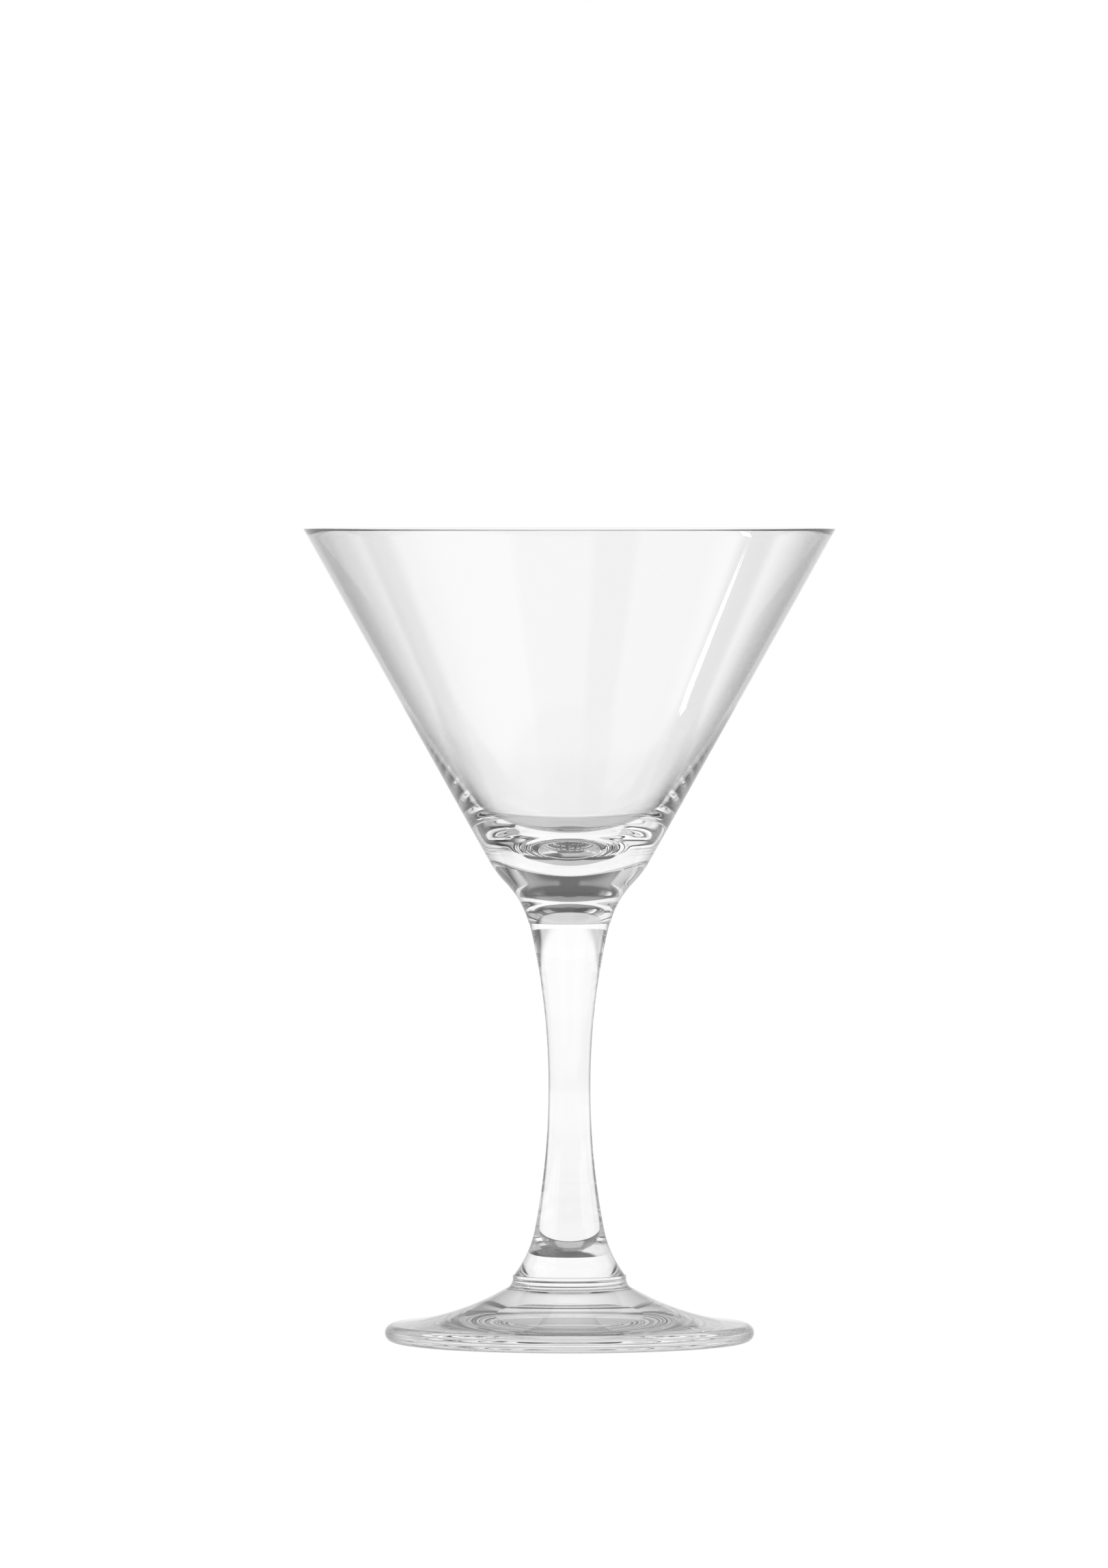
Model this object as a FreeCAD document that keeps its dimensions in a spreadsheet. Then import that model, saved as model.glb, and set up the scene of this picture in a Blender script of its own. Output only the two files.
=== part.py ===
"""Martini glass: a bowl, a stem, a collar and a foot of clear crystal, welded end to end.

The frame has +Z up. The origin is on the table, under the middle of the foot. Sizes are in millimetres.
Each piece is half of its outline, drawn over its own base at height 0 and turned about Z. Its body is
then lifted onto the piece below it.
"""
import FreeCAD, Part
import math
import os

import Sketcher
from FreeCAD import Vector

doc = FreeCAD.newDocument("martini_glass")

# Driving sizes: alias, value, and what it is. "Height" alone is over the piece's own base.
SIZES = [
    # Bowl
    ("rim_diameter", 108.0, "outside of the rim"),
    ("bowl_height", 80.0, "weld face to rim"),
    ("shoulder_diameter", 32.6, "outside, where the straight cone ends"),
    ("shoulder_height", 12.6, "height where the straight cone ends"),
    ("shoulder_round", 21.0, "radius that turns the cone in towards the neck"),
    ("neck_round", 18.7, "radius that sweeps the neck down to the stem"),
    ("base_thickness", 14.0, "solid glass between the weld face and the cavity's floor"),
    ("floor_diameter", 4.0, "flat middle of the cavity's floor"),
    ("toe_round", 10.0, "radius where the floor starts to rise"),
    ("heel_round", 26.0, "radius between there and the cavity's side"),
    ("wall", 1.15, "level thickness of the cone's wall"),
    ("thickening_height", 46.0, "height where the wall starts to thicken downwards"),
    ("thickening_round", 200.0, "radius of the cavity's side where the wall thickens"),
    ("rim_polish", 0.1, "fire-polished radius on the two edges of the rim"),
    # Stem
    ("stem_length", 71.5, "weld face to weld face"),
    ("stem_top_diameter", 16.3, "at the bowl"),
    ("waist_diameter", 8.48, "at the thinnest place"),
    ("waist_height", 38.3, "height of the thinnest place"),
    ("flare_diameter", 14.0, "where the lower flare starts"),
    ("flare_height", 9.5, "height where the lower flare starts"),
    ("stem_foot_diameter", 22.5, "at the collar"),
    # Collar
    ("collar_height", 2.7, "weld face to weld face"),
    ("collar_land", 0.7, "height of the upright band at its top"),
    ("collar_flare", 1.2, "how far it spreads below that band"),
    # Foot
    ("foot_diameter", 75.0, "outside of the foot"),
    ("foot_height", 10.8, "table to weld face"),
    ("foot_sweep", 55.0, "radius of the hollow upper side"),
    ("foot_edge", 1.79, "radius of the rounded outer edge"),
    ("seat_width", 4.5, "width of the flat ring that stands on the table"),
    ("dome_height", 1.3, "rise of the hollow under the foot"),
    # Steps in radius that the welds leave
    ("neck_step", 0.15, "bowl's neck over the stem's top"),
    ("collar_step", 0.27, "collar over the stem's foot"),
    ("foot_step", 0.15, "foot over the collar's bottom"),
]

sheet = doc.addObject("Spreadsheet::Sheet", "Sizes")
for row, (alias, value, meaning) in enumerate(SIZES, start=1):
    sheet.set(f"A{row}", alias)
    sheet.set(f"B{row}", str(value))
    sheet.setAlias(f"B{row}", alias)
    sheet.set(f"C{row}", meaning)
doc.recompute()

# Radii that the pieces share, as expressions on the sheet.
STEM_TOP = "Sizes.stem_top_diameter / 2"
NECK = f"{STEM_TOP} + Sizes.neck_step"
STEM_FOOT = "Sizes.stem_foot_diameter / 2"
COLLAR_TOP = f"{STEM_FOOT} + Sizes.collar_step"
COLLAR_BOTTOM = f"{COLLAR_TOP} + Sizes.collar_flare"
FOOT_TOP = f"{COLLAR_BOTTOM} + Sizes.foot_step"


def number(expression):
    """The value that an expression on the sheet has now, in millimetres."""
    return float(sheet.evalExpression(expression.replace("Sizes.", "")))


def circle_centre(first, first_distance, second, second_distance, side):
    """The point at these distances from two points, to the left (1) or right (-1) of the way between them."""
    way = second - first
    apart = way.Length
    along = (first_distance**2 - second_distance**2 + apart**2) / (2 * apart)
    across = side * math.sqrt(first_distance**2 - along**2)
    way.normalize()
    return first + way * along + Vector(-way.y, way.x, 0) * across


class Outline:
    """Half of a piece's outline in its body's XZ plane: runs and arcs, in order, tied to the sheet.

    A sketch point is (geometry index, 1 for its start or 2 for its end, 3 for an arc's centre).
    Arcs are stored anticlockwise, so an arc that the outline follows clockwise has its ends swapped.
    """

    def __init__(self, body, name):
        self.sketch = body.newObject("Sketcher::SketchObject", name)
        plane = next(feature for feature in body.Origin.OriginFeatures if feature.Role == "XZ_Plane")
        self.sketch.AttachmentSupport = [(plane, "")]
        self.sketch.MapMode = "FlatFace"
        self.pieces = []

    def line(self, start, end):
        """Adds a straight run."""
        index = self.sketch.addGeometry(Part.LineSegment(start, end))
        self.pieces.append(((index, 1), (index, 2)))
        return index

    def arc(self, start, end, centre):
        """Adds the shorter arc from start to end about centre."""
        from_angle, to_angle = (math.atan2(p.y - centre.y, p.x - centre.x) for p in (start, end))
        turn = (to_angle - from_angle + math.pi) % (2 * math.pi) - math.pi
        circle = Part.Circle(centre, Vector(0, 0, 1), (start - centre).Length)
        first_angle = from_angle if turn > 0 else to_angle
        index = self.sketch.addGeometry(Part.ArcOfCircle(circle, first_angle, first_angle + abs(turn)))
        self.pieces.append(((index, 1), (index, 2)) if turn > 0 else ((index, 2), (index, 1)))
        return index

    def join(self, smooth_after=()):
        """Joins each piece to the next one and the last to the first, tangentially after those listed."""
        for (_, end), (start, _) in zip(self.pieces, self.pieces[1:] + self.pieces[:1]):
            kind = "Tangent" if end[0] in smooth_after else "Coincident"
            self.sketch.addConstraint(Sketcher.Constraint(kind, *end, *start))

    def start(self, index):
        """The sketch point where the outline enters a piece."""
        return next(start for start, _ in self.pieces if start[0] == index)

    def tie(self, constraint, expression):
        """Adds a dimension and binds it to an expression on the sheet."""
        place = self.sketch.addConstraint(constraint)
        self.sketch.setExpression(f"Constraints[{place}]", expression)

    def out(self, point, expression):
        """Sets a sketch point's distance from the axis."""
        self.tie(Sketcher.Constraint("DistanceX", -1, 1, *point, number(expression)), expression)

    def up(self, point, expression):
        """Sets a sketch point's height over the piece's base."""
        self.tie(Sketcher.Constraint("DistanceY", -1, 1, *point, number(expression)), expression)

    def radius(self, index, expression):
        """Sets an arc's radius."""
        self.tie(Sketcher.Constraint("Radius", index, number(expression)), expression)

    def on_axis(self, point):
        """Keeps a sketch point on the axis that the outline turns about."""
        self.sketch.addConstraint(Sketcher.Constraint("PointOnObject", *point, -2))

    def on_base(self, point):
        """Keeps a sketch point at the piece's base."""
        self.sketch.addConstraint(Sketcher.Constraint("PointOnObject", *point, -1))

    def level(self, first, second):
        """Keeps two sketch points at one height."""
        self.sketch.addConstraint(Sketcher.Constraint("Horizontal", *first, *second))


def new_body(label, base_height):
    """An empty body whose base is at a height over the table, given as an expression."""
    body = doc.addObject("PartDesign::Body", label)
    body.Label = label
    body.setExpression("Placement.Base.z", base_height)
    return body


def turn(body, outline, feature_type="PartDesign::Revolution"):
    """Turns an outline a full circle about its body's Z axis."""
    freedom = outline.sketch.solve()
    doc.recompute()
    feature = body.newObject(feature_type, f"{outline.sketch.Name}_turned")
    feature.Profile = outline.sketch
    feature.ReferenceAxis = (outline.sketch, ["V_Axis"])
    feature.Angle = 360.0
    outline.sketch.Visibility = False
    doc.recompute()
    if freedom != 0 or not outline.sketch.FullyConstrained:
        raise RuntimeError(f"{outline.sketch.Name} isn't fully tied down")
    return feature


def make_bowl():
    """Conical bowl: its outside with the drawn neck, its cavity, and the polished rim."""
    body = new_body("bowl", "Sizes.foot_height + Sizes.collar_height + Sizes.stem_length")

    # Outside: weld face, neck arc, shoulder arc, straight cone, top, axis.
    neck = Vector(number(NECK), 0, 0)
    shoulder = Vector(number("Sizes.shoulder_diameter / 2"), number("Sizes.shoulder_height"), 0)
    rim = Vector(number("Sizes.rim_diameter / 2"), number("Sizes.bowl_height"), 0)
    cone_way = (rim - shoulder).normalize()
    inward = Vector(-cone_way.y, cone_way.x, 0)
    shoulder_round = number("Sizes.shoulder_round")
    neck_round = number("Sizes.neck_round")
    shoulder_centre = shoulder + inward * shoulder_round
    neck_centre = circle_centre(neck, neck_round, shoulder_centre, shoulder_round + neck_round, -1)
    inflection = shoulder_centre + (neck_centre - shoulder_centre).normalize() * shoulder_round
    outside = Outline(body, "bowl_outside")
    weld = outside.line(Vector(0, 0, 0), neck)
    neck_arc = outside.arc(neck, inflection, neck_centre)
    shoulder_arc = outside.arc(inflection, shoulder, shoulder_centre)
    cone = outside.line(shoulder, rim)
    top = outside.line(rim, Vector(0, rim.y, 0))
    axis = outside.line(Vector(0, rim.y, 0), Vector(0, 0, 0))
    outside.join(smooth_after=(neck_arc, shoulder_arc))
    for point in (outside.start(weld), outside.start(axis)):
        outside.on_axis(point)
    outside.on_base(outside.start(weld))
    outside.on_base(outside.start(neck_arc))
    outside.level(outside.start(top), outside.start(axis))
    outside.out(outside.start(neck_arc), NECK)
    outside.out(outside.start(cone), "Sizes.shoulder_diameter / 2")
    outside.up(outside.start(cone), "Sizes.shoulder_height")
    outside.out(outside.start(top), "Sizes.rim_diameter / 2")
    outside.up(outside.start(top), "Sizes.bowl_height")
    outside.radius(neck_arc, "Sizes.neck_round")
    outside.radius(shoulder_arc, "Sizes.shoulder_round")
    solid = turn(body, outside)

    # Cavity: floor, toe arc, heel arc, side arc where the wall thickens, straight side, top, axis.
    inner_rim = rim - Vector(number("Sizes.wall"), 0, 0)
    thickening = inner_rim + cone_way * ((number("Sizes.thickening_height") - rim.y) / cone_way.y)
    floor = number("Sizes.base_thickness")
    toe_round = number("Sizes.toe_round")
    heel_round = number("Sizes.heel_round")
    thickening_round = number("Sizes.thickening_round")
    floor_end = Vector(number("Sizes.floor_diameter / 2"), floor, 0)
    toe_centre = floor_end + Vector(0, toe_round, 0)
    side_centre = thickening + inward * thickening_round
    heel_centre = circle_centre(
        side_centre, thickening_round - heel_round, toe_centre, heel_round - toe_round, 1
    )
    toe_end = toe_centre + (toe_centre - heel_centre).normalize() * toe_round
    heel_end = heel_centre + (heel_centre - side_centre).normalize() * heel_round
    cavity = Outline(body, "bowl_cavity")
    floor_line = cavity.line(Vector(0, floor, 0), floor_end)
    toe_arc = cavity.arc(floor_end, toe_end, toe_centre)
    heel_arc = cavity.arc(toe_end, heel_end, heel_centre)
    side_arc = cavity.arc(heel_end, thickening, side_centre)
    side = cavity.line(thickening, inner_rim)
    mouth = cavity.line(inner_rim, Vector(0, rim.y, 0))
    middle = cavity.line(Vector(0, rim.y, 0), Vector(0, floor, 0))
    cavity.join(smooth_after=(floor_line, toe_arc, heel_arc, side_arc))
    for point in (cavity.start(floor_line), cavity.start(middle)):
        cavity.on_axis(point)
    cavity.level(cavity.start(floor_line), cavity.start(toe_arc))
    cavity.level(cavity.start(mouth), cavity.start(middle))
    cone_spread = "(Sizes.rim_diameter - Sizes.shoulder_diameter) / 2"
    cone_rise = "(Sizes.bowl_height - Sizes.shoulder_height)"
    cavity.up(cavity.start(floor_line), "Sizes.base_thickness")
    cavity.out(cavity.start(mouth), "Sizes.rim_diameter / 2 - Sizes.wall")
    cavity.up(cavity.start(mouth), "Sizes.bowl_height")
    cavity.out(
        cavity.start(side),
        "Sizes.rim_diameter / 2 - Sizes.wall"
        f" - (Sizes.bowl_height - Sizes.thickening_height) * {cone_spread} / {cone_rise}",
    )
    cavity.up(cavity.start(side), "Sizes.thickening_height")
    cavity.out(cavity.start(toe_arc), "Sizes.floor_diameter / 2")
    cavity.radius(toe_arc, "Sizes.toe_round")
    cavity.radius(heel_arc, "Sizes.heel_round")
    cavity.radius(side_arc, "Sizes.thickening_round")
    hollowed = turn(body, cavity, "PartDesign::Groove")
    if hollowed.Shape.Volume > 0.5 * solid.Shape.Volume:
        raise RuntimeError("the groove didn't hollow the bowl")

    # Rim: both edges of the flat top.
    polish = body.newObject("PartDesign::Fillet", "rim_polished")
    edges = [
        f"Edge{place}"
        for place, edge in enumerate(hollowed.Shape.Edges, start=1)
        if edge.Closed and abs(edge.BoundBox.ZMin - rim.y) < 1e-6 and abs(edge.BoundBox.ZMax - rim.y) < 1e-6
    ]
    polish.Base = (hollowed, edges)
    polish.setExpression("Radius", "Sizes.rim_polish")
    return body


def make_stem():
    """Drawn stem, solid: a long arc down to the waist, a long arc below it, and the lower flare."""
    body = new_body("stem", "Sizes.foot_height + Sizes.collar_height")
    top = Vector(number(STEM_TOP), number("Sizes.stem_length"), 0)
    waist = Vector(number("Sizes.waist_diameter / 2"), number("Sizes.waist_height"), 0)
    flare = Vector(number("Sizes.flare_diameter / 2"), number("Sizes.flare_height"), 0)
    foot = Vector(number(STEM_FOOT), 0, 0)

    def centre_beside(start, towards, end):
        """Centre of the arc through start and end whose centre lies from start along a direction."""
        chord = end - start
        return start + towards * (chord.dot(chord) / (2 * chord.dot(towards)))

    outward = Vector(1, 0, 0)
    upper_centre = centre_beside(waist, outward, top)
    lower_centre = centre_beside(waist, outward, flare)
    flare_centre = centre_beside(flare, (lower_centre - flare).normalize(), foot)
    outline = Outline(body, "stem_outline")
    lower_weld = outline.line(Vector(0, 0, 0), foot)
    flare_arc = outline.arc(foot, flare, flare_centre)
    lower_arc = outline.arc(flare, waist, lower_centre)
    upper_arc = outline.arc(waist, top, upper_centre)
    upper_weld = outline.line(top, Vector(0, top.y, 0))
    axis = outline.line(Vector(0, top.y, 0), Vector(0, 0, 0))
    outline.join(smooth_after=(flare_arc, lower_arc))
    for point in (outline.start(lower_weld), outline.start(axis)):
        outline.on_axis(point)
    outline.on_base(outline.start(lower_weld))
    outline.on_base(outline.start(flare_arc))
    outline.level(outline.start(upper_weld), outline.start(axis))
    outline.level((lower_arc, 3), outline.start(upper_arc))
    outline.out(outline.start(flare_arc), STEM_FOOT)
    outline.out(outline.start(lower_arc), "Sizes.flare_diameter / 2")
    outline.up(outline.start(lower_arc), "Sizes.flare_height")
    outline.out(outline.start(upper_arc), "Sizes.waist_diameter / 2")
    outline.up(outline.start(upper_arc), "Sizes.waist_height")
    outline.out(outline.start(upper_weld), STEM_TOP)
    outline.up(outline.start(upper_weld), "Sizes.stem_length")
    turn(body, outline)
    return body


def make_collar():
    """Collar between stem and foot: a short upright band over a small cove."""
    body = new_body("collar", "Sizes.foot_height")
    top = Vector(number(COLLAR_TOP), number("Sizes.collar_height"), 0)
    band_end = top - Vector(0, number("Sizes.collar_land"), 0)
    bottom = Vector(number(COLLAR_BOTTOM), 0, 0)
    chord = bottom - band_end
    cove_centre = band_end + Vector(chord.dot(chord) / (2 * chord.x), 0, 0)
    outline = Outline(body, "collar_outline")
    lower_weld = outline.line(Vector(0, 0, 0), bottom)
    cove = outline.arc(bottom, band_end, cove_centre)
    band = outline.line(band_end, top)
    upper_weld = outline.line(top, Vector(0, top.y, 0))
    axis = outline.line(Vector(0, top.y, 0), Vector(0, 0, 0))
    outline.join(smooth_after=(cove,))
    for point in (outline.start(lower_weld), outline.start(axis)):
        outline.on_axis(point)
    outline.on_base(outline.start(lower_weld))
    outline.on_base(outline.start(cove))
    outline.level(outline.start(upper_weld), outline.start(axis))
    outline.out(outline.start(cove), COLLAR_BOTTOM)
    outline.out(outline.start(band), COLLAR_TOP)
    outline.up(outline.start(band), "Sizes.collar_height - Sizes.collar_land")
    outline.out(outline.start(upper_weld), COLLAR_TOP)
    outline.up(outline.start(upper_weld), "Sizes.collar_height")
    turn(body, outline)
    return body


def make_foot():
    """Spread foot: hollow upper side, round edge, flat seat ring and a shallow dome underneath."""
    body = new_body("foot", "0 mm")
    top = Vector(number(FOOT_TOP), number("Sizes.foot_height"), 0)
    edge_round = number("Sizes.foot_edge")
    sweep_round = number("Sizes.foot_sweep")
    edge_centre = Vector(number("Sizes.foot_diameter / 2 - Sizes.foot_edge"), edge_round, 0)
    seat_outer = Vector(edge_centre.x, 0, 0)
    seat_inner = seat_outer - Vector(number("Sizes.seat_width"), 0, 0)
    dome_top = Vector(0, number("Sizes.dome_height"), 0)
    dome_round = (seat_inner.x**2 + dome_top.y**2) / (2 * dome_top.y)
    sweep_centre = circle_centre(edge_centre, sweep_round + edge_round, top, sweep_round, -1)
    edge_end = edge_centre + (sweep_centre - edge_centre).normalize() * edge_round
    outline = Outline(body, "foot_outline")
    seat = outline.line(seat_inner, seat_outer)
    lower_edge = outline.arc(seat_outer, edge_centre + Vector(edge_round, 0, 0), edge_centre)
    upper_edge = outline.arc(edge_centre + Vector(edge_round, 0, 0), edge_end, edge_centre)
    sweep = outline.arc(edge_end, top, sweep_centre)
    weld = outline.line(top, Vector(0, top.y, 0))
    axis = outline.line(Vector(0, top.y, 0), dome_top)
    dome = outline.arc(dome_top, seat_inner, dome_top - Vector(0, dome_round, 0))
    outline.join(smooth_after=(seat, lower_edge, upper_edge))
    for point in (outline.start(axis), outline.start(dome), (dome, 3)):
        outline.on_axis(point)
    for point in (outline.start(seat), outline.start(lower_edge)):
        outline.on_base(point)
    outline.level(outline.start(weld), outline.start(axis))
    outline.level((lower_edge, 3), outline.start(upper_edge))
    outline.out(outline.start(upper_edge), "Sizes.foot_diameter / 2")
    for arc in (lower_edge, upper_edge):
        outline.radius(arc, "Sizes.foot_edge")
    outline.radius(sweep, "Sizes.foot_sweep")
    outline.out(outline.start(weld), FOOT_TOP)
    outline.up(outline.start(weld), "Sizes.foot_height")
    outline.out(outline.start(seat), "Sizes.foot_diameter / 2 - Sizes.foot_edge - Sizes.seat_width")
    outline.up(outline.start(dome), "Sizes.dome_height")
    turn(body, outline)
    return body


bodies = [make_bowl(), make_stem(), make_collar(), make_foot()]
doc.recompute()

for item in doc.Objects:
    if "Invalid" in item.State or "Error" in item.State:
        raise RuntimeError(f"{item.Label} failed to build")
for body in bodies:
    if body.Shape.isNull() or not body.Shape.isValid() or len(body.Shape.Solids) != 1:
        raise RuntimeError(f"{body.Label} isn't one valid solid")

os.makedirs("parts", exist_ok=True)
for body in bodies:
    body.Shape.exportStep(f"parts/{body.Label}.step")
    box = body.Shape.optimalBoundingBox()
    print(f"{body.Label}: {body.Shape.Volume:.0f} mm3, {box.XLength:.2f} mm across, top at {box.ZMax:.2f} mm")
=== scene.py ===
"""Martini glass in clear crystal: bowl, stem, collar and foot, each turned as one smooth closed shell."""
import math

import bpy
import numpy as np
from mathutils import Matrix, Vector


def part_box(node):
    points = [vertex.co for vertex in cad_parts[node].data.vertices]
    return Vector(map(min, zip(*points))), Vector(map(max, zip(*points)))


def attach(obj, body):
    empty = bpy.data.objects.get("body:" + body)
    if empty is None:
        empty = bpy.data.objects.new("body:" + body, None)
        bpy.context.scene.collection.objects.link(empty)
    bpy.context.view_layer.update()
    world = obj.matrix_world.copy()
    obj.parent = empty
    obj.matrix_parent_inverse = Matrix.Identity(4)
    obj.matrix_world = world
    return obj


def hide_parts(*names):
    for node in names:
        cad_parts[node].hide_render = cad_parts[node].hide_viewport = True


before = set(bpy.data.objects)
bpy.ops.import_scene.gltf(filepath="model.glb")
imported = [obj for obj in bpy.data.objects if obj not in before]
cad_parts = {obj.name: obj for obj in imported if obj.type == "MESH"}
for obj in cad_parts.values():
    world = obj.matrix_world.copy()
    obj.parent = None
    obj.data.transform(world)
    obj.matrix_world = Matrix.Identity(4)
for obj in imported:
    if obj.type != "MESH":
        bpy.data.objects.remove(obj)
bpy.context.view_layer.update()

MM = 0.001

# Half of each piece's outline is worked out in millimetres as points (distance from the axis, height).
SEGMENTS = 360          # facets round every piece
CREASE = 15.0           # degrees: a sharper turn of the outline is a crisp edge
POLISH_TURN = 15.0      # degrees between points on the rim's tiny polished edges
WELD_GAP = 0.02         # each piece stops this far short of its weld, so two faces never coincide

# Sizes that the frame doesn't give: the curves of the outside and the hollows.
SHOULDER_OUT = 16.3     # outside radius where the straight cone ends
SHOULDER_UP = 12.6      # and its height over the bowl's weld
SHOULDER_ROUND = 21.0   # radius that turns the cone in towards the neck
NECK_OUT = 8.3          # outside radius of the bowl's neck at the weld
NECK_ROUND = 18.7       # radius that sweeps the neck down to the stem
BASE_THICKNESS = 14.0   # solid glass under the cavity's floor
FLOOR_OUT = 2.0         # radius of the flat middle of that floor
TOE_ROUND = 10.0        # radius where the floor starts to rise
HEEL_ROUND = 26.0       # radius between there and the cavity's side
WALL = 1.15             # level thickness of the cone's wall
THICKENING_UP = 46.0    # height over the weld where the wall starts to thicken downwards
THICKENING_ROUND = 200.0  # radius of the cavity's side where the wall thickens
RIM_POLISH = 0.1        # radius of the rim's two polished edges
STEM_TOP_OUT = 8.15     # the stem's radius at the bowl
WAIST_OUT = 4.24        # the stem's thinnest radius
WAIST_UP = 38.3         # and its height over the stem's lower weld
FLARE_OUT = 7.0         # the stem's radius where its lower flare starts
FLARE_UP = 9.5          # and its height over the stem's lower weld
COLLAR_LAND = 0.7       # upright band at the collar's top
COLLAR_FLARE = 1.2      # spread of the cove below it
FOOT_TOP_OUT = 12.87    # the foot's radius at the collar
FOOT_SWEEP = 55.0       # radius of the foot's hollow upper side
FOOT_EDGE = 1.79        # radius of its rounded edge
SEAT_WIDTH = 4.5        # flat ring that the foot stands on
DOME_UP = 1.3           # rise of the hollow under the foot

# The crystal, with lengths in millimetres. The grey at a slant isn't in the glass: it is painted shade,
# standing in for the dark parts of a room, which the edges of clear crystal mirror and bend into view. This
# studio has few of them.
CRYSTAL_INDEX = 1.52
RIPPLE_LENGTH = 25.0
RIPPLE_HEIGHT = 0.002
HAZE_PATCH = 9.0        # size of the patches of haze
HAZE_ROUGHNESS = 0.004  # roughness in the haziest of them
EDGE_FROM = 0.42        # slant where the grey starts: 0 is square on, 1 is edge on
EDGE_TO = 0.9           # slant where it is full
EDGE_SHADE = 0.1        # what is left there of the clear crystal's lightness

# The camera, in metres, except for its lens.
CAMERA_LENS = 291.3     # millimetres
SENSOR_WIDTH = 36.0     # millimetres
CAMERA_ACROSS = -0.00314
CAMERA_AWAY = 2.573
CAMERA_UP = 0.1764
CAMERA_AIM = 0.1132     # height that it points at
FARTHEST_SEEN = 50.0

# The studio. Light bounces this often inside the crystal, where it is seen through many faces.
LIGHT_BOUNCES = 48
SURROUNDINGS_GLOW = 0.12  # light from wherever there is no panel
BACKDROP_AWAY = 3.4     # metres from the glass to each wall
PANEL_FADE = 0.12       # share of a panel's width or height over which it fades out at each edge
PANEL_COLUMNS = 24
PANEL_ROWS = 16

# The panels: left and right azimuth and low and high elevation in degrees, brightness, and distance in
# metres. Where two panels overlap, the nearer one hides the farther one.
PANELS = [
    ("behind", -82, 82, -10, 17, 1.0, 6.0),
    ("behind_bottom", -22, 22, -62, -24, 0.6, 5.95),
    ("behind_low", -18, 18, -34, 2, 1.0, 5.9),
    ("behind_high", -65, 45, 13, 42, 0.7, 5.85),
    ("behind_low_wide", -72, 72, -32, -5, 0.97, 5.8),
    ("top_behind", -75, 75, 54, 84, 0.3, 5.75),
    ("front_low", 160, 232, -62, -22, 0.6, 5.7),
    ("high_ring", 78, 290, 20, 68, 0.47, 5.65),
    ("left_softbox", -140, -72, 3, 62, 1.0, 5.5),
    ("left_strip", -120, -72, 6, 18, 1.3, 5.4),
    ("left_low", -149, -72, -64, 0, 0.95, 5.3),
    ("front_fill", 112, 238, -34, -2, 0.9, 5.25),
    ("front_left_card", -168, -135, -28, -7, 1.2, 5.2),
    ("right_softbox", 80, 138, 7, 17, 1.05, 4.9),
    ("right_softbox_top", 92, 125, 3, 27, 0.9, 4.8),
    ("right_low", 78, 122, -45, -7, 0.5, 4.6),
    ("front_right_card", 138, 165, -27, -7, 1.1, 4.5),
    ("front_dark", 150, 210, -2, 20, 0.0, 4.4),
    ("right_dark", 85, 140, -6, 3, 0.05, 4.3),
    ("right_high_dark", 46, 78, 18, 50, 0.1, 4.2),
    ("small_lamp", -75, -71, 35, 39, 12.0, 4.1),
]


def node_span(node):
    """A node's outside radius, lowest height and highest height in the frame, in millimetres."""
    low, high = (np.array(corner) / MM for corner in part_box(node))
    return (high[0] - low[0]) / 2, low[2], high[2]


def run(start, end, step=1.5):
    """Points on a straight run from start towards end, end left out: start + t (end - start)."""
    start, end = np.array(start, float), np.array(end, float)
    count = max(1, math.ceil(np.linalg.norm(end - start) / step))
    t = np.arange(count)[:, None] / count
    return start + t * (end - start)


def arc(start, end, centre, turn_step=2.0):
    """Points on the shorter arc from start towards end about centre, end left out.

    centre + radius (cos a, sin a), with the angle a going evenly from start's to end's.
    """
    start, end, centre = (np.array(point, float) for point in (start, end, centre))
    first, last = (math.atan2(*(point - centre)[::-1]) for point in (start, end))
    turn = (last - first + math.pi) % (2 * math.pi) - math.pi
    count = max(2, math.ceil(abs(math.degrees(turn)) / turn_step))
    angle = first + turn * np.arange(count) / count
    return centre + np.linalg.norm(start - centre) * np.column_stack((np.cos(angle), np.sin(angle)))


def unit(vector):
    """A vector of length 1 the same way."""
    return vector / np.linalg.norm(vector)


def two_circles(first, first_radius, second, second_radius, side):
    """Where two circles cross, to the left (1) or right (-1) of the way from first to second."""
    way = second - first
    apart = np.linalg.norm(way)
    along = (first_radius**2 - second_radius**2 + apart**2) / (2 * apart)
    across = side * math.sqrt(first_radius**2 - along**2)
    way = way / apart
    return first + way * along + np.array((-way[1], way[0])) * across


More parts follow.
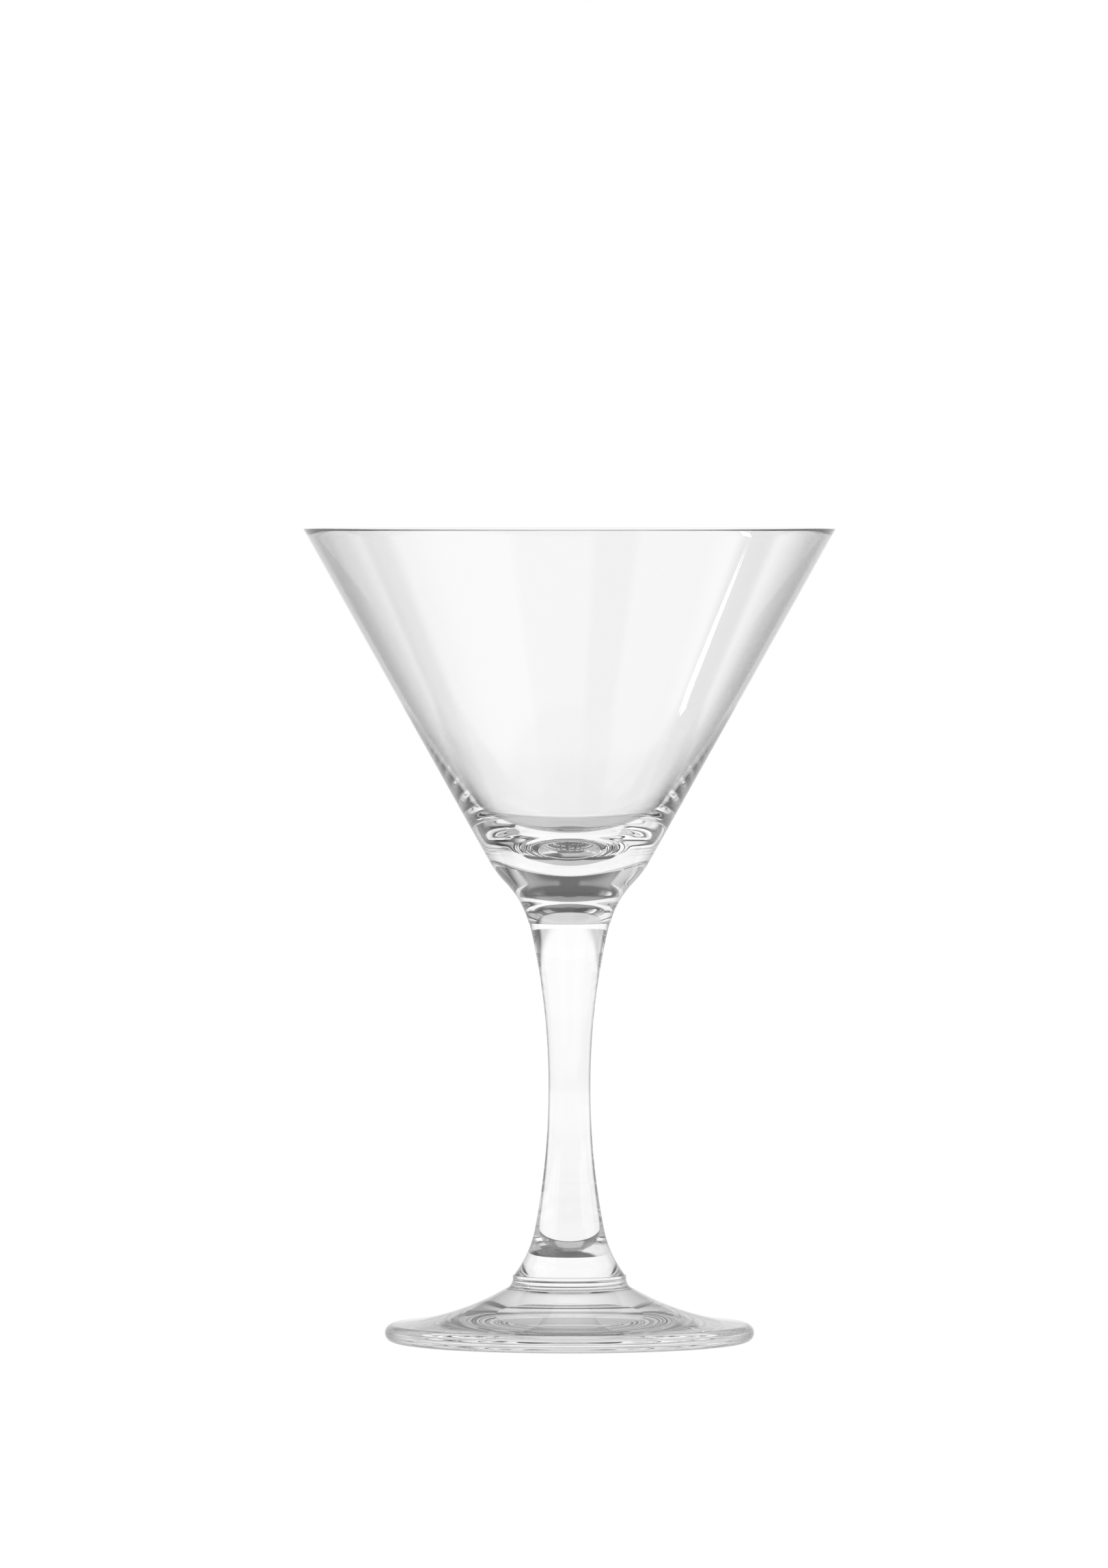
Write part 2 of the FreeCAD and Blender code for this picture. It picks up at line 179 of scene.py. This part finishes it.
def bowl_outline():
    """Neck arc, shoulder arc and straight cone outside, up to the polished rim.

    Inside, the cone's side, the arc that thickens the wall, the heel arc, the toe arc and the flat floor.
    """
    widest, weld, top = node_span("bowl")
    base = weld + WELD_GAP
    neck = np.array((NECK_OUT, base))
    shoulder = np.array((SHOULDER_OUT, weld + SHOULDER_UP))
    # The widest point lies on the rim's polished edge, a little inside the corner where cone and rim meet.
    rough_way = unit((widest, top) - shoulder)
    rim = np.array((widest + RIM_POLISH * ((1 + rough_way[0]) / rough_way[1] - 1), top))
    cone_way = unit(rim - shoulder)
    inward = np.array((-cone_way[1], cone_way[0]))
    shoulder_centre = shoulder + inward * SHOULDER_ROUND
    neck_centre = two_circles(neck, NECK_ROUND, shoulder_centre, SHOULDER_ROUND + NECK_ROUND, -1)
    inflection = shoulder_centre + unit(neck_centre - shoulder_centre) * SHOULDER_ROUND

    outer_centre = np.array((widest - RIM_POLISH, top - RIM_POLISH))
    inner_rim = rim - (WALL, 0)
    inner_centre = np.array((inner_rim[0] + RIM_POLISH * (1 - cone_way[0]) / cone_way[1], top - RIM_POLISH))
    outer_side, outer_top = outer_centre - inward * RIM_POLISH, outer_centre + (0, RIM_POLISH)
    inner_top, inner_side = inner_centre + (0, RIM_POLISH), inner_centre + inward * RIM_POLISH
    thickening = inner_rim + cone_way * ((weld + THICKENING_UP - top) / cone_way[1])
    side_centre = thickening + inward * THICKENING_ROUND
    floor = weld + BASE_THICKNESS
    floor_end = np.array((FLOOR_OUT, floor))
    toe_centre = floor_end + (0, TOE_ROUND)
    side_to_heel, heel_to_toe = THICKENING_ROUND - HEEL_ROUND, HEEL_ROUND - TOE_ROUND
    heel_centre = two_circles(side_centre, side_to_heel, toe_centre, heel_to_toe, 1)
    heel_end = heel_centre + unit(heel_centre - side_centre) * HEEL_ROUND
    toe_end = toe_centre + unit(toe_centre - heel_centre) * TOE_ROUND
    return np.vstack((
        run((0, base), neck),
        arc(neck, inflection, neck_centre),
        arc(inflection, shoulder, shoulder_centre),
        run(shoulder, outer_side),
        arc(outer_side, outer_top, outer_centre, turn_step=POLISH_TURN),
        run(outer_top, inner_top, step=0.3),
        arc(inner_top, inner_side, inner_centre, turn_step=POLISH_TURN),
        run(inner_side, thickening),
        arc(thickening, heel_end, side_centre, turn_step=0.4),
        arc(heel_end, toe_end, heel_centre),
        arc(toe_end, floor_end, toe_centre, turn_step=5.0),
        run(floor_end, (0, floor), step=1.0),
        [(0, floor)],
    ))


def stem_outline():
    """Long arc from the top down to the waist, long arc on to the flare, and a tangent arc to the foot."""
    foot_out, weld, top = node_span("stem")
    low, high = weld + WELD_GAP, top - WELD_GAP
    waist = np.array((WAIST_OUT, weld + WAIST_UP))
    flare = np.array((FLARE_OUT, weld + FLARE_UP))
    upper, lower = np.array((STEM_TOP_OUT, high)), np.array((foot_out, low))

    def centre_towards(start, way, end):
        """Centre of the arc through start and end that lies from start along way."""
        chord = end - start
        return start + way * (chord @ chord) / (2 * chord @ way)

    upper_centre = centre_towards(waist, np.array((1.0, 0.0)), upper)
    lower_centre = centre_towards(waist, np.array((1.0, 0.0)), flare)
    flare_centre = centre_towards(flare, unit(lower_centre - flare), lower)
    return np.vstack((
        run((0, low), lower),
        arc(lower, flare, flare_centre, turn_step=1.0),
        arc(flare, waist, lower_centre, turn_step=0.3),
        arc(waist, upper, upper_centre, turn_step=0.3),
        run(upper, (0, high)),
        [(0, high)],
    ))


def collar_outline():
    """Upright band over a quarter-round cove."""
    foot_out, weld, top = node_span("collar")
    low, high = weld + WELD_GAP, top - WELD_GAP
    band_out = foot_out - COLLAR_FLARE
    bottom, band_end = np.array((foot_out, low)), np.array((band_out, top - COLLAR_LAND))
    chord = bottom - band_end
    cove_centre = band_end + (chord @ chord / (2 * chord[0]), 0)
    return np.vstack((
        run((0, low), bottom),
        arc(bottom, band_end, cove_centre, turn_step=4.0),
        run(band_end, (band_out, high), step=0.2),
        run((band_out, high), (0, high)),
        [(0, high)],
    ))


def foot_outline():
    """Shallow dome and flat seat ring below, round edge, and one hollow arc up to the weld."""
    foot_out, table, weld = node_span("foot")
    high = weld - WELD_GAP
    edge_centre = np.array((foot_out - FOOT_EDGE, table + FOOT_EDGE))
    seat_outer = np.array((edge_centre[0], table))
    seat_inner = seat_outer - (SEAT_WIDTH, 0)
    dome_round = (seat_inner[0] ** 2 + DOME_UP**2) / (2 * DOME_UP)
    top = np.array((FOOT_TOP_OUT, high))
    sweep_centre = two_circles(edge_centre, FOOT_SWEEP + FOOT_EDGE, top, FOOT_SWEEP, -1)
    edge_end = edge_centre + unit(sweep_centre - edge_centre) * FOOT_EDGE
    dome_top = (0, table + DOME_UP)
    return np.vstack((
        arc(dome_top, seat_inner, (0, table + DOME_UP - dome_round), turn_step=0.25),
        run(seat_inner, seat_outer, step=0.5),
        arc(seat_outer, (foot_out, table + FOOT_EDGE), edge_centre, turn_step=4.0),
        arc((foot_out, table + FOOT_EDGE), edge_end, edge_centre, turn_step=4.0),
        arc(edge_end, top, sweep_centre, turn_step=0.5),
        run(top, (0, high)),
        [(0, high)],
    ))


def lathe(name, outline):
    """Turns an outline that starts and ends on the axis.

    (r, z) goes to (r cos a, r sin a, z), with the angle a going evenly all the way round.
    """
    rings = outline[1:-1] * MM
    angle = np.arange(SEGMENTS) * 2 * math.pi / SEGMENTS
    x = rings[:, :1] * np.cos(angle)
    y = rings[:, :1] * np.sin(angle)
    z = np.repeat(rings[:, 1:], SEGMENTS, axis=1)
    walls = np.stack((x, y, z), axis=2).reshape(-1, 3)
    poles = np.array(((0, 0, outline[0, 1]), (0, 0, outline[-1, 1]))) * MM
    vertices = np.vstack((walls, poles))

    here = np.arange(SEGMENTS)
    beside = np.roll(here, -1)
    ring = np.arange(len(rings) - 1)[:, None] * SEGMENTS
    quads = np.stack((ring + here, ring + beside, ring + SEGMENTS + beside, ring + SEGMENTS + here), axis=2)
    last = (len(rings) - 1) * SEGMENTS
    first_fan = np.column_stack((np.full(SEGMENTS, len(walls)), beside, here))
    last_fan = np.column_stack((np.full(SEGMENTS, len(walls) + 1), last + here, last + beside))

    mesh = bpy.data.meshes.new(name)
    mesh.from_pydata(vertices, [], quads.reshape(-1, 4).tolist() + first_fan.tolist() + last_fan.tolist())
    mesh.validate()
    mesh.shade_smooth()
    mesh.set_sharp_from_angle(angle=math.radians(CREASE))
    piece = bpy.data.objects.new(name, mesh)
    bpy.context.collection.objects.link(piece)
    return piece


def linear(hex_colour):
    """An sRGB hex colour as linear red, green, blue and alpha 1."""
    levels = [int(hex_colour[i : i + 2], 16) / 255 for i in (1, 3, 5)]
    return [c / 12.92 if c <= 0.04045 else ((c + 0.055) / 1.055) ** 2.4 for c in levels] + [1.0]


def add_node(tree, kind, settings=None, **inputs):
    """Adds a node, sets its own settings, and sets or links each named input."""
    node = tree.nodes.new(kind)
    for key, value in (settings or {}).items():
        setattr(node, key, value)
    for key, value in inputs.items():
        socket = node.inputs[key.replace("_", " ")]
        if isinstance(value, bpy.types.NodeSocket):
            tree.links.new(value, socket)
        else:
            socket.default_value = value
    return node


def new_material(name):
    """An empty node material and its tree."""
    material = bpy.data.materials.new(name)
    material.use_nodes = True
    material.node_tree.nodes.clear()
    return material, material.node_tree


def crystal():
    """Lead-free crystal, drawn and fire-polished: clear and colourless, with a liquid-smooth skin.

    Drawing and turning leave faint ripples a few centimetres long, and handling leaves a trace of haze.
    The base colour darkens with the slant: painted shade, in place of the dark surroundings that real edges
    mirror.
    """
    material, tree = new_material("fire_polished_crystal_painted_edge_shade")
    place = add_node(tree, "ShaderNodeTexCoord").outputs["Object"]
    ripple = add_node(
        tree, "ShaderNodeTexNoise", Vector=place, Scale=1 / (RIPPLE_LENGTH * MM), Detail=1.0, Roughness=0.4
    )
    skin_ripple = add_node(
        tree, "ShaderNodeBump", Strength=1.0, Distance=RIPPLE_HEIGHT * MM, Height=ripple.outputs["Fac"]
    )
    touch = add_node(
        tree, "ShaderNodeTexNoise", Vector=place, Scale=1 / (HAZE_PATCH * MM), Detail=4.0, Roughness=0.6
    )
    haze = add_node(
        tree,
        "ShaderNodeMapRange",
        Value=touch.outputs["Fac"],
        From_Min=0.45,
        From_Max=0.75,
        To_Max=HAZE_ROUGHNESS,
    )
    slant = add_node(tree, "ShaderNodeLayerWeight", Blend=0.5, Normal=skin_ripple.outputs["Normal"])
    # Painted shade: the base colour greys where the surface is seen at a slant, in place of mirrored dark
    # surroundings.
    painted_edge_shade = add_node(
        tree,
        "ShaderNodeMapRange",
        {"interpolation_type": "SMOOTHSTEP"},
        Value=slant.outputs["Facing"],
        From_Min=EDGE_FROM,
        From_Max=EDGE_TO,
        To_Min=1.0,
        To_Max=EDGE_SHADE,
    )
    grey = painted_edge_shade.outputs["Result"]
    clear = add_node(tree, "ShaderNodeCombineColor", Red=grey, Green=grey, Blue=grey)
    skin = add_node(
        tree,
        "ShaderNodeBsdfPrincipled",
        Base_Color=clear.outputs["Color"],
        Roughness=haze.outputs["Result"],
        IOR=CRYSTAL_INDEX,
        Transmission_Weight=1.0,
        Normal=skin_ripple.outputs["Normal"],
    )
    add_node(tree, "ShaderNodeOutputMaterial", Surface=skin.outputs["BSDF"])
    return material


def place_camera():
    """A long lens a little over the rim's height, turned down to the middle of the glass."""
    camera = bpy.data.cameras.new("camera")
    camera.lens = CAMERA_LENS
    camera.sensor_width = SENSOR_WIDTH
    camera.clip_end = FARTHEST_SEEN
    holder = bpy.data.objects.new("camera", camera)
    bpy.context.collection.objects.link(holder)
    holder.location = (CAMERA_ACROSS, -CAMERA_AWAY, CAMERA_UP)
    holder.rotation_euler = (math.atan2(CAMERA_AWAY, CAMERA_UP - CAMERA_AIM), 0, 0)
    bpy.context.scene.camera = holder


def glow_material(name, fading):
    """Even light. Where it fades, it goes smoothly to nothing over a share of the panel at each edge."""
    material, tree = new_material(name)
    strength = add_node(tree, "ShaderNodeObjectInfo").outputs["Color"]
    glow = add_node(tree, "ShaderNodeEmission", Color=strength)
    surface = glow.outputs["Emission"]
    if fading:
        sheet = add_node(tree, "ShaderNodeUVMap").outputs["UV"]
        across = add_node(tree, "ShaderNodeSeparateXYZ", Vector=sheet)
        shares = []
        for way in "XY":
            middle = add_node(tree, "ShaderNodeMath", {"operation": "PINGPONG"})
            tree.links.new(across.outputs[way], middle.inputs[0])
            middle.inputs[1].default_value = 0.5
            share = add_node(
                tree,
                "ShaderNodeMapRange",
                {"interpolation_type": "SMOOTHSTEP"},
                Value=middle.outputs["Value"],
                From_Max=PANEL_FADE,
            )
            shares.append(share.outputs["Result"])
        both = add_node(tree, "ShaderNodeMath", {"operation": "MULTIPLY"})
        for socket, share in zip(both.inputs, shares):
            tree.links.new(share, socket)
        clear = add_node(tree, "ShaderNodeBsdfTransparent")
        blend = add_node(tree, "ShaderNodeMixShader", Fac=both.outputs["Value"])
        tree.links.new(clear.outputs["BSDF"], blend.inputs[1])
        tree.links.new(surface, blend.inputs[2])
        surface = blend.outputs["Shader"]
    add_node(tree, "ShaderNodeOutputMaterial", Surface=surface)
    material.cycles.emission_sampling = "NONE"
    return material


def light_panel(name, left, right, low, high, glow, distance, material):
    """A piece of a sphere round the glass, lit on the inside and unseen by the camera itself.

    distance (cos e sin a, cos e cos a, sin e): a is the azimuth from straight behind the glass towards
    the right, e the elevation, both on an even grid in degrees.
    """
    wide, tall = PANEL_COLUMNS + 1, PANEL_ROWS + 1
    across, up = np.radians(np.meshgrid(np.linspace(left, right, wide), np.linspace(low, high, tall)))
    out = (np.cos(up) * np.sin(across), np.cos(up) * np.cos(across), np.sin(up))
    points = distance * np.stack(out, axis=2)
    first = (np.arange(PANEL_ROWS)[:, None] * wide + np.arange(PANEL_COLUMNS)).reshape(-1, 1)
    mesh = bpy.data.meshes.new(name)
    mesh.from_pydata(points.reshape(-1, 3), [], (first + (0, wide, wide + 1, 1)).tolist())
    share = np.stack(np.meshgrid(np.linspace(0, 1, wide), np.linspace(0, 1, tall)), axis=2)
    corners = np.empty(len(mesh.loops), dtype=np.int32)
    mesh.loops.foreach_get("vertex_index", corners)
    mesh.uv_layers.new().data.foreach_set("uv", share.reshape(-1, 2)[corners].ravel())
    mesh.materials.append(material)
    panel = bpy.data.objects.new(name, mesh)
    panel.color = (glow, glow, glow, 1.0)
    panel.visible_camera = False
    panel.visible_shadow = False
    bpy.context.collection.objects.link(panel)


def backdrop(name, points, faces, material):
    """A white surface that only the camera sees, so that the lights alone shape the glass."""
    mesh = bpy.data.meshes.new(name)
    mesh.from_pydata(points, [], faces)
    mesh.materials.append(material)
    surface = bpy.data.objects.new(name, mesh)
    for unseen in ("visible_diffuse", "visible_glossy", "visible_transmission", "visible_shadow"):
        setattr(surface, unseen, False)
    bpy.context.collection.objects.link(surface)


def studio():
    """White floor and backdrop, dim grey surroundings, and the soft panels all round the glass."""
    scene = bpy.context.scene
    scene.view_settings.view_transform = "Standard"
    for kind in ("max", "glossy", "transmission", "transparent_max"):
        setattr(scene.cycles, f"{kind}_bounces", LIGHT_BOUNCES)
    scene.world = bpy.data.worlds.new("dim_surroundings")
    scene.world.use_nodes = True
    scene.world.node_tree.nodes.clear()
    glow = add_node(
        scene.world.node_tree, "ShaderNodeBackground", Color=linear("#FFFFFF"), Strength=SURROUNDINGS_GLOW
    )
    add_node(scene.world.node_tree, "ShaderNodeOutputWorld", Surface=glow.outputs["Background"])

    white = glow_material("white_backdrop", fading=False)
    side = BACKDROP_AWAY
    floor = [(-side, -side, 0), (side, -side, 0), (side, side, 0), (-side, side, 0)]
    backdrop("pale_floor", floor, [(0, 1, 2, 3)], white)
    corners = [(x, y, z) for z in (0, 2 * side) for x, y, _ in floor]
    walls = [(0, 4, 5, 1), (1, 5, 6, 2), (2, 6, 7, 3), (3, 7, 4, 0), (4, 7, 6, 5)]
    backdrop("pale_walls", corners, walls, white)

    softbox = glow_material("softbox_cloth", fading=True)
    for name, *span, glow, distance in PANELS:
        light_panel(name, *span, glow, distance, softbox)


place_camera()
studio()
glass = crystal()
for node, outline in (
    ("bowl", bowl_outline()),
    ("stem", stem_outline()),
    ("collar", collar_outline()),
    ("foot", foot_outline()),
):
    piece = lathe(f"{node}_shell", outline)
    piece.data.materials.append(glass)
    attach(piece, "root")
    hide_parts(node)
